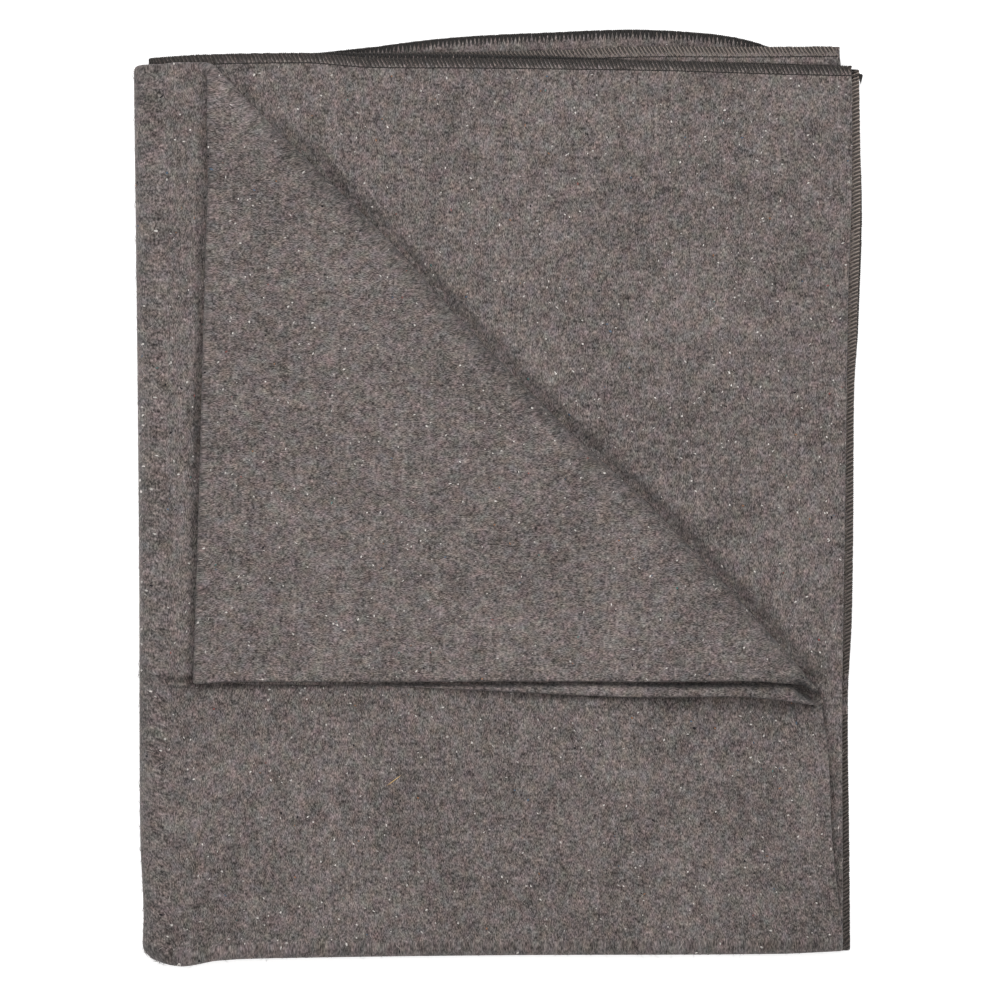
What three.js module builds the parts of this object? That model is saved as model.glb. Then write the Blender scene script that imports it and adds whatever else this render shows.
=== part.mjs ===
// A wool blanket, folded flat into a pile of sixteen layers, with one corner of the top turned down.
// Millimetres, +Z up. The origin is under the middle of the pile, on the surface that it lies on.
// Seen from above, +X is to the right and +Y is away from the reader.
// The blanket is cut flat and then folded by formulas, one fold after the other, as by hand.
import * as THREE from "three";

// The blanket as it was cut, and its layers
const WIDTH = 1500;
const LENGTH = 1900;
const CLOTH = 1.6;
const AIR = 0.35;

// Steps in each fold's half turn, and strips in each flat stretch between two folds
const SIDE_STEPS = 4;
const TOP_STEPS = 6;
const BOTTOM_STEPS = 6;
const LEFT_STEPS = 6;
const STRIPS_ACROSS = 7;
const STRIPS_DOWN = 6;

// The heights of 1, 2, 4, 8 and 16 layers, and the radius at which each fold turns its pack
const pack = (layers) => layers * CLOTH + (layers - 1) * AIR;
const turn = (layers) => (pack(layers) + AIR) / 2;
const sideTurn = turn(1);
const topTurn = turn(2);
const bottomTurn = turn(4);
const leftTurn = turn(8);
const PILE = pack(16);

// How much of the cut cloth runs from the blanket's middle to each fold's start
const sideHalf = (Math.PI / 2) * sideTurn;
const topHalf = (Math.PI / 2) * topTurn;
const leftStart = sideHalf + (WIDTH / 2 - sideHalf - Math.PI * leftTurn) / 2;
const leftEnd = leftStart + Math.PI * leftTurn;
const bottomStart = topHalf + (LENGTH / 2 - topHalf - Math.PI * bottomTurn) / 2;
const bottomEnd = bottomStart + Math.PI * bottomTurn;

// The pile as it would lie with every fold dead straight, and where its middle comes
const STRAIGHT = {
  left: -(leftStart - sideHalf + leftTurn + pack(8) / 2),
  right: pack(2) / 2,
  bottom: -(bottomStart - topHalf + bottomTurn + pack(4) / 2),
  top: topTurn + pack(2) / 2,
};
const MIDDLE_X = -2.9;
const MIDDLE_Y = -8;
const shiftX = MIDDLE_X - (STRAIGHT.left + STRAIGHT.right) / 2;
const shiftY = MIDDLE_Y - (STRAIGHT.bottom + STRAIGHT.top) / 2;
const leftEdge = STRAIGHT.left + shiftX;
const rightEdge = STRAIGHT.right + shiftX;
const bottomEdge = STRAIGHT.bottom + shiftY;
const topEdge = STRAIGHT.top + shiftY;

// The pile's four sides stray from straight: at each place along a side, how far out of line it lies
const LEFT_SIDE = [
  { y: 225, out: -2.6 },
  { y: 95, out: -1 },
  { y: -38, out: 0.2 },
  { y: -183, out: 0.8 },
  { y: -222, out: 2.6 },
  { y: -245, out: 1.8 },
];
const RIGHT_SIDE = [
  { y: 225, out: 3 },
  { y: 160, out: 2.8 },
  { y: 100, out: 0.8 },
  { y: 0, out: -0.6 },
  { y: -108, out: -2.2 },
  { y: -240, out: -2 },
];
const BOTTOM_SIDE = [
  { x: -190, out: 1.1 },
  { x: -172, out: -3.6 },
  { x: -150, out: -0.3 },
  { x: -110, out: 1 },
  { x: 0, out: 2.4 },
  { x: 150, out: 3.1 },
  { x: 187, out: 4.7 },
];
const TOP_SIDE = [
  { x: -192, out: 0.6 },
  { x: -160, out: 1 },
  { x: -110, out: -0.8 },
  { x: 0, out: -2.6 },
  { x: 110, out: -4 },
  { x: 187, out: -7 },
];

// How far the sewn ends reach past the line of the top folds, for each pair of layers
const UPPER_ENDS = [
  { x: -192, out: 6.2 },
  { x: -160, out: 8.4 },
  { x: -103, out: 11.4 },
  { x: -68, out: 9.6 },
  { x: -9, out: 10 },
  { x: 77, out: 9.8 },
  { x: 135, out: 9.4 },
  { x: 190, out: 10.4 },
];
const UPPER_ENDS_UNDER = [
  { x: -192, out: 5.6 },
  { x: -160, out: 7.6 },
  { x: -95, out: 11.6 },
  { x: -41, out: 12 },
  { x: 26, out: 11.6 },
  { x: 80, out: 9.6 },
  { x: 190, out: 10.4 },
];
const LOWER_ENDS = [
  { x: -192, out: 5 },
  { x: -160, out: 6.8 },
  { x: -103, out: 10.8 },
  { x: 28, out: 14.6 },
  { x: 77, out: 17 },
  { x: 130, out: 18.2 },
  { x: 187, out: 21 },
];
const BACK_ENDS = [
  { x: -192, out: 4.2 },
  { x: -120, out: 9 },
  { x: -68, out: 15.4 },
  { x: -41, out: 19.4 },
  { x: -9, out: 22.6 },
  { x: 23, out: 24.4 },
  { x: 65, out: 26.4 },
  { x: 103, out: 25.2 },
  { x: 127, out: 22 },
  { x: 150, out: 15 },
  { x: 187, out: 6 },
];

// How far the sewn sides reach past the line of the right folds
const BACK_SIDES = [
  { y: 225, out: 5.4 },
  { y: 185, out: 6 },
  { y: 106, out: 6.6 },
  { y: 50, out: 5.6 },
  { y: -65, out: 6.2 },
  { y: -110, out: 4.6 },
  { y: -190, out: 5.2 },
  { y: -240, out: 5.4 },
];
const FLOOR_SIDES = [
  { y: 225, out: 3 },
  { y: 180, out: 6.6 },
  { y: 100, out: 7.4 },
  { y: 40, out: 4.6 },
  { y: -240, out: 3.4 },
];
const LOWER_FOLDS = [
  { y: 225, out: -6.2 },
  { y: 100, out: -3 },
  { y: -240, out: 0 },
];

// The sewn ends at the back hang over their pack's short folds and drop towards the surface
const DROP = 5.5;
const DROP_START = 3;
const DROP_REACH = 22;
const DROP_STRIPS = [26, 18, 10];

// The corner is turned down over a line through this point, square to this direction
const CREASE = { x: 14.1, y: 48.3, towards: (46 * Math.PI) / 180 };
const creaseX = Math.sin(CREASE.towards);
const creaseY = Math.cos(CREASE.towards);
const creaseHeight = PILE + AIR / 2;

// Its turn takes less cloth in the pair of layers inside it than in the pair round the outside
const turnInside = turn(2);
const turnOutside = pack(2) + AIR + turn(2);
const turnShared = (turnInside + turnOutside) / 2;
const SHARED_UNTIL = 30;
const APART_FROM = 260;
const CREASE_LINES = [0, 36, 72, 108, 144, 180].map((angle) => (angle * Math.PI * turnInside) / 180)
  .concat([84, 108, 132, 156, 180].map((angle) => (angle * Math.PI * turnOutside) / 180));

// The turn bows out along its length
const CREASE_BOW = [
  { along: -224, out: 1.2 },
  { along: -165, out: 2.4 },
  { along: -112, out: 3.4 },
  { along: -60, out: 1.6 },
  { along: 20, out: 1.6 },
  { along: 86, out: 5.2 },
  { along: 135, out: 5 },
  { along: 190, out: 3.6 },
  { along: 224, out: 1.4 },
];
const BOW_REACH = 60;

// The turned corner lies a little to the right of where its turn alone would lay it
const FLAP_SHIFT = 2.3;
const FLAP_REACH = 50;

// The top quarter's right side is drawn in, most of all where it goes round the turn
const TOP_RIGHT = [
  { y: 225, out: -11 },
  { y: 170, out: -12.3 },
  { y: 74, out: -13.3 },
  { y: -43, out: -14.5 },
  { y: -78, out: -14.6 },
  { y: -110, out: -12.4 },
  { y: -140, out: -8.6 },
  { y: -189, out: -5.6 },
  { y: -240, out: 0 },
];

const clamp = (value, low, high) => Math.min(high, Math.max(low, value));
const ease = (value) => {
  const share = clamp(value, 0, 1);
  return share * share * (3 - 2 * share);
};

// A smooth value between a table's rows, which are sorted along their first column
function along(table, column, at) {
  const rows = table[0][column] < table[table.length - 1][column] ? table : [...table].reverse();
  if (at <= rows[0][column]) return rows[0].out;
  const next = rows.findIndex((row) => row[column] > at);
  if (next < 0) return rows[rows.length - 1].out;
  const [a, b] = [rows[next - 1], rows[next]];
  const before = rows[Math.max(0, next - 2)];
  const after = rows[Math.min(rows.length - 1, next + 1)];
  const width = b[column] - a[column];
  const slopeA = (b.out - before.out) / (b[column] - before[column]);
  const slopeB = (after.out - a.out) / (after[column] - a[column]);
  const t = (at - a[column]) / width;
  const [t2, t3] = [t * t, t * t * t];
  return (2 * t3 - 3 * t2 + 1) * a.out + (t3 - 2 * t2 + t) * width * slopeA
    + (3 * t2 - 2 * t3) * b.out + (t3 - t2) * width * slopeB;
}

// The first two folds halve the blanket: one side turns over the other about its middle line
function halve(distance, side, height, radius) {
  const half = (Math.PI / 2) * radius;
  if (distance > half) return { at: half - distance, height: side * (radius + height) };
  const angle = distance / radius;
  return { at: (radius + height) * Math.cos(angle), height: side * (radius + height) * Math.sin(angle) };
}

// The last two folds turn the far part of the pack under the near part
function tuckUnder(at, height, start, radius) {
  const past = -at - start;
  if (past <= 0) return { at, height: height + radius };
  const angle = past / radius;
  if (angle >= Math.PI) return { at: -start + (past - Math.PI * radius), height: -(height + radius) };
  return { at: -start - (radius + height) * Math.sin(angle), height: (radius + height) * Math.cos(angle) };
}

// Where a point of the cut cloth comes to when every fold is straight
function foldStraight(u, v, w) {
  const side = halve(Math.abs(u), u < 0 ? -1 : 1, w, sideTurn);
  const top = halve(Math.abs(v), v < 0 ? -1 : 1, side.height, topTurn);
  const bottom = tuckUnder(top.at, top.height, bottomStart - topHalf, bottomTurn);
  const left = tuckUnder(side.at, bottom.height, leftStart - sideHalf, leftTurn);
  return { x: left.at + shiftX, y: bottom.at + shiftY, z: left.height + PILE / 2 };
}

// How near a point is to the free side of its quarter, from 0 at the tucked fold to 1 at that side
const nearness = (distance, start, end, total) => (
  distance < start ? 1 - distance / start : clamp((distance - end) / (total - end), 0, 1)
);

// How the layers of each quarter lie out of line with each other, along X and along Y
function slip(u, v, x, y) {
  const [a, b] = [Math.abs(u), Math.abs(v)];
  const back = a > (leftStart + leftEnd) / 2;
  const lower = b > (bottomStart + bottomEnd) / 2;
  const right = nearness(a, leftStart, leftEnd, WIDTH / 2);
  const end = nearness(b, bottomStart, bottomEnd, LENGTH / 2);
  let [slipX, slipY] = [0, 0];
  if (back) slipX = along(lower ? BACK_SIDES : FLOOR_SIDES, "y", y) * right;
  else if (lower && v > 0) slipX = along(LOWER_FOLDS, "y", y) * right;
  if (lower && back) slipY = along(BACK_ENDS, "x", x) * end;
  else if (lower && v > 0) slipY = along(LOWER_ENDS, "x", x) * end;
  else if (lower) slipY = along(u > 0 ? UPPER_ENDS : UPPER_ENDS_UNDER, "x", x) * end;
  return [slipX, slipY];
}

// The whole pile's sides stray together, and what lies between them goes along
function stray(point) {
  const across = clamp((point.x - leftEdge) / (rightEdge - leftEdge), 0, 1);
  const up = clamp((point.y - bottomEdge) / (topEdge - bottomEdge), 0, 1);
  const { x, y } = point;
  point.x += along(LEFT_SIDE, "y", y) * (1 - across) + along(RIGHT_SIDE, "y", y) * across;
  point.y += along(BOTTOM_SIDE, "x", x) * (1 - up) + along(TOP_SIDE, "x", x) * up;
}

// The sewn ends at the back hang over the short folds under them
function drop(point, u) {
  const edge = topEdge + along(TOP_SIDE, "x", point.x);
  const freely = ease(3 * nearness(Math.abs(u), leftStart, leftEnd, WIDTH / 2));
  point.z -= DROP * freely * ease((point.y - edge - DROP_START) / DROP_REACH);
}

// How far a point lies past the crease, towards the corner that is turned down
const pastCrease = (x, y) => (x - CREASE.x) * creaseX + (y - CREASE.y) * creaseY;

// The top quarter is drawn in from its right side, less and less towards its left fold
const drawnIn = (x, y) => x + along(TOP_RIGHT, "y", y) * clamp((x - leftEdge) / (rightEdge - leftEdge), 0, 1);

// The corner of the top quarter turns over the crease and comes to lie on the quarter
function turnDown(point, u, v) {
  point.x = drawnIn(point.x, point.y);
  const past = pastCrease(point.x, point.y);
  const alongCrease = (point.x - CREASE.x) * creaseY - (point.y - CREASE.y) * creaseX;
  const outside = Math.max(-past, past - Math.PI * turnOutside, 0);
  const bow = along(CREASE_BOW, "along", alongCrease) * ease(1 - outside / BOW_REACH);
  if (past > 0) {
    const apart = ease((Math.abs(v) - SHARED_UNTIL) / (APART_FROM - SHARED_UNTIL));
    const radius = turnShared + ((v > 0 ? turnInside : turnOutside) - turnShared) * apart;
    const depth = creaseHeight - point.z;
    const angle = Math.min(past / radius, Math.PI);
    const beyond = Math.max(0, past - Math.PI * radius);
    const reach = depth * Math.sin(angle) - beyond;
    point.x += (reach - past) * creaseX + FLAP_SHIFT * ease(beyond / FLAP_REACH);
    point.y += (reach - past) * creaseY;
    point.z = creaseHeight - depth * Math.cos(angle);
  }
  point.x += bow * creaseX;
  point.y += bow * creaseY;
}

// Where a point of the cut cloth lies in the pile
function place(u, v, w) {
  const point = foldStraight(u, v, w);
  const [slipX, slipY] = slip(u, v, point.x, point.y);
  const topQuarter = Math.abs(u) < leftStart && Math.abs(v) < bottomStart;
  if (topQuarter) turnDown(point, u, v);
  stray(point);
  point.x += slipX;
  point.y += slipY;
  if (Math.abs(v) > bottomEnd && Math.abs(u) > leftEnd) drop(point, u);
  return point;
}

// The places where the cut cloth is divided, from its middle line out to its edge
function divisions(half, steps, start, end, tuckSteps, strips, total, endStrips = []) {
  const between = (from, to, count) => (
    Array.from({ length: count }, (_, i) => from + ((to - from) * i) / count)
  );
  return [
    ...between(0, half, steps / 2),
    ...between(half, start, strips),
    ...between(start, end, tuckSteps),
    ...between(end, total - (endStrips[0] ?? 0), strips),
    ...endStrips.map((strip) => total - strip),
    total,
  ];
}

// Where the top quarter's cloth lies from above, by its distances from the blanket's two middle lines
function topQuarterAt(a, b) {
  const y = halve(b, 1, 0, topTurn).at + shiftY;
  return [drawnIn(halve(a, 1, 0, sideTurn).at + shiftX, y), y];
}

// Closer than this counts as on the line
const EXACT = 1e-7;

// Cuts a flat convex outline in two along a line, and keeps both parts
function cut(outline, offset) {
  const value = ([a, b]) => pastCrease(...topQuarterAt(a, b)) - offset;
  const [near, far] = [[], []];
  outline.forEach((corner, i) => {
    const next = outline[(i + 1) % outline.length];
    const [here, there] = [value(corner), value(next)];
    if (here <= EXACT) near.push(corner);
    if (here >= -EXACT) far.push(corner);
    if ((here < -EXACT && there > EXACT) || (here > EXACT && there < -EXACT)) {
      const share = here / (here - there);
      const crossing = corner.map((number, k) => number + (next[k] - number) * share);
      near.push(crossing);
      far.push(crossing);
    }
  });
  return [near, far].filter((part) => part.length > 2);
}

// A quarter of the cut cloth in flat pieces, finer where the corner's crease crosses it
function quarterPieces() {
  const across = divisions(sideHalf, SIDE_STEPS, leftStart, leftEnd, LEFT_STEPS, STRIPS_ACROSS, WIDTH / 2);
  const down = divisions(
    topHalf, TOP_STEPS, bottomStart, bottomEnd, BOTTOM_STEPS, STRIPS_DOWN, LENGTH / 2, DROP_STRIPS,
  );
  const pieces = [];
  for (let i = 0; i + 1 < across.length; i += 1) {
    for (let j = 0; j + 1 < down.length; j += 1) {
      const [a0, a1, b0, b1] = [across[i], across[i + 1], down[j], down[j + 1]];
      let parts = [[[a0, b0], [a1, b0], [a1, b1], [a0, b1]]];
      if (a1 < leftEnd && b1 < bottomEnd) {
        for (const line of CREASE_LINES) parts = parts.flatMap((part) => cut(part, line));
      }
      pieces.push(...parts);
    }
  }
  return pieces;
}

// The whole cloth as one closed surface: its face, its back and the rim round its raw edge
function foldedCloth() {
  const corners = [];
  const places = new Map();
  const corner = (u, v, side) => {
    const key = `${u.toFixed(5)} ${v.toFixed(5)} ${side}`;
    if (!places.has(key)) {
      const point = place(u, v, (side * CLOTH) / 2);
      places.set(key, corners.length / 3);
      corners.push(point.x, point.y, point.z);
    }
    return places.get(key);
  };
  const triangles = [];
  const rim = (u, v) => Math.abs(u) > WIDTH / 2 - EXACT || Math.abs(v) > LENGTH / 2 - EXACT;
  const sameSide = (p, q) => (
    (Math.abs(p[0]) > WIDTH / 2 - EXACT && p[0] === q[0])
    || (Math.abs(p[1]) > LENGTH / 2 - EXACT && p[1] === q[1])
  );
  for (const [alongU, alongV] of [[1, 1], [-1, 1], [-1, -1], [1, -1]]) {
    for (const piece of quarterPieces()) {
      const outline = piece.map(([a, b]) => [a * alongU || 0, b * alongV || 0]);
      if (alongU * alongV < 0) outline.reverse();
      const face = outline.map(([u, v]) => corner(u, v, 1));
      const back = outline.map(([u, v]) => corner(u, v, -1));
      for (let k = 1; k + 1 < outline.length; k += 1) {
        triangles.push(face[0], face[k], face[k + 1]);
        triangles.push(back[0], back[k + 1], back[k]);
      }
      outline.forEach((p, k) => {
        const next = (k + 1) % outline.length;
        if (rim(...p) && rim(...outline[next]) && sameSide(p, outline[next])) {
          triangles.push(face[k], back[k], back[next], face[k], back[next], face[next]);
        }
      });
    }
  }
  const geometry = new THREE.BufferGeometry();
  geometry.setAttribute("position", new THREE.Float32BufferAttribute(corners, 3));
  geometry.setIndex(triangles);
  geometry.computeVertexNormals();
  return geometry;
}

// Brushed recycled wool, a grey-brown mix of many fibres
const wool = new THREE.MeshStandardMaterial({ color: 0x6b6360, roughness: 0.95, metalness: 0 });

function blanketCloth() {
  const cloth = new THREE.Mesh(foldedCloth(), wool);
  cloth.name = "blanket_cloth";
  return cloth;
}

const group = new THREE.Group();
group.add(blanketCloth());

export default group;
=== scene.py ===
# A wool blanket folded flat into sixteen layers, with one corner of the top turned down.
import math

import bpy
import numpy as np
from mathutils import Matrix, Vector
from mathutils.bvhtree import BVHTree


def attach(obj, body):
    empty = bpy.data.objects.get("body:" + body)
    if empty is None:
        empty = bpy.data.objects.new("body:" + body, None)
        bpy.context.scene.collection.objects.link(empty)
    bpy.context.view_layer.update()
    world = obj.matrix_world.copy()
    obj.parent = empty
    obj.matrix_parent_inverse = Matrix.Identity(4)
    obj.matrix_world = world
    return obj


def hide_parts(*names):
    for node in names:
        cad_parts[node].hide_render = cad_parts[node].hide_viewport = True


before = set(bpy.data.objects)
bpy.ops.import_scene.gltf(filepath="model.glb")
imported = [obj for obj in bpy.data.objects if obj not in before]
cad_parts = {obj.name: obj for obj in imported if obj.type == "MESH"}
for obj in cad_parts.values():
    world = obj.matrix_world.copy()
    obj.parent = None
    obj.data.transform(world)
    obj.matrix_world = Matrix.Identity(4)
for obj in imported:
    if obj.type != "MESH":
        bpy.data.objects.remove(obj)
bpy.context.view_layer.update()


# The blanket cloth
# One cut panel of brushed recycled wool, 1.5 by 1.9 m and 1.6 mm thick, made with no lining or binding.
# It is folded in half across and along, tucked under once each way, and its top corner is turned down.
MM = 0.001
WIDTH = 1500
LENGTH = 1900
CLOTH = 1.6
AIR = 0.35


def pack(layers):
    """How high so many layers of cloth lie, with the air between them."""
    return layers * CLOTH + (layers - 1) * AIR


def turn(layers):
    """The radius at which the middle of so many layers turns back over itself."""
    return (pack(layers) + AIR) / 2


# The four folds in the order in which they are made, and where on the cut cloth the two tucks start and end
side_turn, top_turn, bottom_turn, left_turn = turn(1), turn(2), turn(4), turn(8)
PILE = pack(16)
CORNER = pack(20)
side_half = math.pi / 2 * side_turn
top_half = math.pi / 2 * top_turn
left_start = side_half + (WIDTH / 2 - side_half - math.pi * left_turn) / 2
left_end = left_start + math.pi * left_turn
bottom_start = top_half + (LENGTH / 2 - top_half - math.pi * bottom_turn) / 2
bottom_end = bottom_start + math.pi * bottom_turn

# The straight pile's middle and its four sides. The folds are made round the origin and then moved there.
half_width = (left_start - side_half + left_turn + pack(8) / 2 + pack(2) / 2) / 2
half_length = (bottom_start - top_half + bottom_turn + pack(4) / 2 + top_turn + pack(2) / 2) / 2
MIDDLE = (-2.9, -8)
left_edge, right_edge = MIDDLE[0] - half_width, MIDDLE[0] + half_width
bottom_edge, top_edge = MIDDLE[1] - half_length, MIDDLE[1] + half_length
shift_x = right_edge - pack(2) / 2
shift_y = top_edge - top_turn - pack(2) / 2

# How far each side of the pile strays outwards, at each place along it
LEFT_SIDE = [(225, -2.6), (95, -1), (-38, 0.2), (-183, 0.8), (-222, 2.6), (-245, 1.8)]
RIGHT_SIDE = [(225, 3), (160, 2.8), (100, 0.8), (0, -0.6), (-108, -2.2), (-240, -2)]
BOTTOM_SIDE = [(-190, 1.1), (-172, -3.6), (-150, -0.3), (-110, 1), (0, 2.4), (150, 3.1), (187, 4.7)]
TOP_SIDE = [(-192, 0.6), (-160, 1), (-110, -0.8), (0, -2.6), (110, -4), (187, -7)]

# How far the sewn ends and sides reach past the folds, at each place along them
UPPER_ENDS = [
    (-192, 6.2), (-160, 8.4), (-103, 11.4), (-68, 9.6), (-9, 10), (77, 9.8), (135, 9.4), (190, 10.4),
]
UPPER_ENDS_UNDER = [(-192, 5.6), (-160, 7.6), (-95, 11.6), (-41, 12), (26, 11.6), (80, 9.6), (190, 10.4)]
LOWER_ENDS = [(-192, 5), (-160, 6.8), (-103, 10.8), (28, 14.6), (77, 17), (130, 18.2), (187, 21)]
BACK_ENDS = [
    (-192, 4.2), (-120, 9), (-68, 15.4), (-41, 19.4), (-9, 22.6), (23, 24.4),
    (65, 26.4), (103, 25.2), (127, 22), (150, 15), (187, 6),
]
BACK_SIDES = [(225, 5.4), (185, 6), (106, 6.6), (50, 5.6), (-65, 6.2), (-110, 4.6), (-190, 5.2), (-240, 5.4)]
FLOOR_SIDES = [(225, 3), (180, 6.6), (100, 7.4), (40, 4.6), (-240, 3.4)]
LOWER_FOLDS = [(225, -6.2), (100, -3), (-240, 0)]
# How far the back's sewn ends hang down where they reach past the folds, from where and over what length,
# and how quickly they come free, counted from the tuck beside them
DROP, DROP_START, DROP_REACH = 5.5, 3, 22
COMES_FREE = 3

# The crease over which the corner is turned down, and how its layers share the turn
CREASE = (14.1, 48.3)
CREASE_SLANT = math.radians(46)
crease_x, crease_y = math.sin(CREASE_SLANT), math.cos(CREASE_SLANT)
crease_height = PILE + AIR / 2
turn_inside = turn(2)
turn_outside = pack(2) + AIR + turn(2)
turn_shared = (turn_inside + turn_outside) / 2
SHARED_UNTIL, APART_FROM = 30, 260
# How far the crease bows outwards at each place along it, and how far into the cloth the bow reaches
CREASE_BOW = [
    (-224, 1.2), (-165, 2.4), (-112, 3.4), (-60, 1.6), (20, 1.6), (86, 5.2), (135, 5), (190, 3.6), (224, 1.4),
]
BOW_REACH = 60
# How far the turned corner has slipped to the right, and the length over which it does
FLAP_SHIFT, FLAP_REACH = 2.3, 50
# How far the right side of the top quarter is drawn in
TOP_RIGHT = [
    (225, -11), (170, -12.3), (74, -13.3), (-43, -14.5), (-78, -14.6),
    (-110, -12.4), (-140, -8.6), (-189, -5.6), (-240, 0),
]

# The turned corner stands up in a soft roll beside the crease: its height, how far past the crease it starts,
# how far on it is highest and ends, and the layers that it leaves lying
ROLL, ROLL_START, ROLL_TOP, ROLL_END = 2.4, 8, 12, 46
BELOW_CORNER = 12
# Towards the crease's ends, so far from its middle, all this fades out over so long a stretch
CREASE_END, CREASE_FADE = 240, 60
# The crease's edge and the layer at its foot sag towards each other: how deep, and how far to each side
SAG, SAG_REACH = 5.5, 6.5
# The layer at its foot gives way further: how deep, how far from the edge, and how far to each side
FOOT, FOOT_AT, FOOT_REACH = 6, 1.5, 4

# Soft troughs and ridges pressed into the pile: x, y, direction in degrees, half length, half width, height
PRESSED = [
    (-112, 12, 8, 60, 9, -0.7),
    (-60, 96, -48, 55, 13, -0.6),
    (30, -12, -46, 60, 14, -0.5),
    (-141, -180, 96, 45, 8, -0.8),
    (-10, -170, 88, 60, 10, -0.5),
    (150, -160, 80, 40, 16, 0.7),
    (-80, -140, 4, 70, 12, -0.5),
    (80, -195, -3, 90, 12, 0.5),
    (110, 190, 84, 60, 12, 0.6),
    (60, 160, 98, 40, 10, -0.5),
    (150, 60, 86, 60, 12, -0.5),
    (179, -125, 84, 22, 4, -1.6),
]
# Where the turned corner's layers are lifted off those below, the same way
LIFTED = [
    (112, -84, -6, 50, 18, 4.0),
    (-30, -88, 0, 70, 12, 0.8),
]
# The gaps at the feet of the folds, the same way, with how steep their sides are, and up to which layer
# they are pressed in: two under the turned corner's upper pair of layers, two under its lower pair,
# two at its left side, and last the hollow that opens at the crease's lower end
SOFT, STEEP = 2, 4
FEET = [
    (-8, -98.0, 0.3, 190, 2.3, -12, STEEP, 18),
    (125, -98.4, 0, 48, 2.9, -9, STEEP, 18),
    (40, -104.2, 0.5, 70, 3, -6, SOFT, 16),
    (138, -108, 1.5, 60, 12, -13, SOFT, 16),
    (-158.2, 52, 88.8, 190, 4.2, -6.5, SOFT, 16),
    (-164, 172, 89, 70, 8, -4, SOFT, 16),
    (166.5, -105.2, -37, 9.5, 3.1, -27, STEEP, 20),
]
# However deep the gaps are, the layers keep at least this share of their height over the table
LEAST_HEIGHT = 0.12


def ease(value):
    """A soft step from 0 to 1."""
    share = np.clip(value, 0, 1)
    return share * share * (3 - 2 * share)


def along(rows, at):
    """A smooth curve through the rows of places and distances, read at the given places."""
    places, outs = np.array(sorted(rows), float).T
    last = len(places) - 1
    before, after = np.maximum(np.arange(last + 1) - 1, 0), np.minimum(np.arange(last + 1) + 1, last)
    slopes = (outs[after] - outs[before]) / (places[after] - places[before])
    at = np.clip(at, places[0], places[-1])
    i = np.clip(np.searchsorted(places, at, side="right") - 1, 0, last - 1)
    width = places[i + 1] - places[i]
    t = (at - places[i]) / width
    t2, t3 = t * t, t * t * t
    return (
        (2 * t3 - 3 * t2 + 1) * outs[i]
        + (t3 - 2 * t2 + t) * width * slopes[i]
        + (3 * t2 - 2 * t3) * outs[i + 1]
        + (t3 - t2) * width * slopes[i + 1]
    )


def halve(distance, side, height, radius):
    """Folds a sheet in half: how far in from the fold and how high a point comes, on either side."""
    half = math.pi / 2 * radius
    angle = np.minimum(distance, half) / radius
    flat = distance > half
    at = np.where(flat, half - distance, (radius + height) * np.cos(angle))
    return at, side * (radius + height) * np.where(flat, 1, np.sin(angle))


def tuck_under(at, height, start, radius):
    """Tucks what lies further in than the start under the rest: where and how high a point comes."""
    past = -at - start
    angle = np.clip(past / radius, 0, math.pi)
    turned = -start - (radius + height) * np.sin(angle)
    at = np.where(past <= 0, at, np.where(angle >= math.pi, -start + past - math.pi * radius, turned))
    return at, (radius + height) * np.cos(angle)


def nearness(distance, start, end, total):
    """How near a point is to the closed fold or the sewn edge: 1 at either, and 0 at the tuck between."""
    return np.where(distance < start, 1 - distance / start, np.clip((distance - end) / (total - end), 0, 1))


def slip(u, v, x, y):
    """How far the sewn ends and sides reach past the folds over them."""
    a, b = np.abs(u), np.abs(v)
    back = a > (left_start + left_end) / 2
    lower = b > (bottom_start + bottom_end) / 2
    right = nearness(a, left_start, left_end, WIDTH / 2)
    end = nearness(b, bottom_start, bottom_end, LENGTH / 2)
    sides = np.where(lower, along(BACK_SIDES, y), along(FLOOR_SIDES, y))
    slip_x = np.where(back, sides, np.where(lower & (v > 0), along(LOWER_FOLDS, y), 0)) * right
    upper = np.where(u > 0, along(UPPER_ENDS, x), along(UPPER_ENDS_UNDER, x))
    ends = np.where(back, along(BACK_ENDS, x), np.where(v > 0, along(LOWER_ENDS, x), upper))
    return slip_x, np.where(lower, ends, 0) * end


def drawn_in(x, y):
    """The top quarter is drawn in at its right side, and the rest of it in proportion."""
    return x + along(TOP_RIGHT, y) * np.clip((x - left_edge) / (right_edge - left_edge), 0, 1)


def past_crease(x, y):
    """How far past the crease a place lies, square to it."""
    return (x - CREASE[0]) * crease_x + (y - CREASE[1]) * crease_y


def down_crease(x, y):
    """How far down the crease a place lies, from its middle."""
    return (x - CREASE[0]) * crease_y - (y - CREASE[1]) * crease_x


def turn_down(x, y, z, v):
    """Turns the top quarter's corner down over the crease, with each layer round its own radius."""
    x = drawn_in(x, y)
    past = past_crease(x, y)
    outside = np.maximum(np.maximum(-past, past - math.pi * turn_outside), 0)
    bow = along(CREASE_BOW, down_crease(x, y)) * ease(1 - outside / BOW_REACH)
    apart = ease((np.abs(v) - SHARED_UNTIL) / (APART_FROM - SHARED_UNTIL))
    radius = turn_shared + (np.where(v > 0, turn_inside, turn_outside) - turn_shared) * apart
    depth = crease_height - z
    angle = np.clip(past / radius, 0, math.pi)
    beyond = np.maximum(0, past - math.pi * radius)
    reach = np.where(past > 0, depth * np.sin(angle) - beyond - past, 0)
    z = np.where(past > 0, crease_height - depth * np.cos(angle), z)
    shift = np.where(past > 0, FLAP_SHIFT * ease(beyond / FLAP_REACH), 0)
    return x + (reach + bow) * crease_x + shift, y + (reach + bow) * crease_y, z


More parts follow.
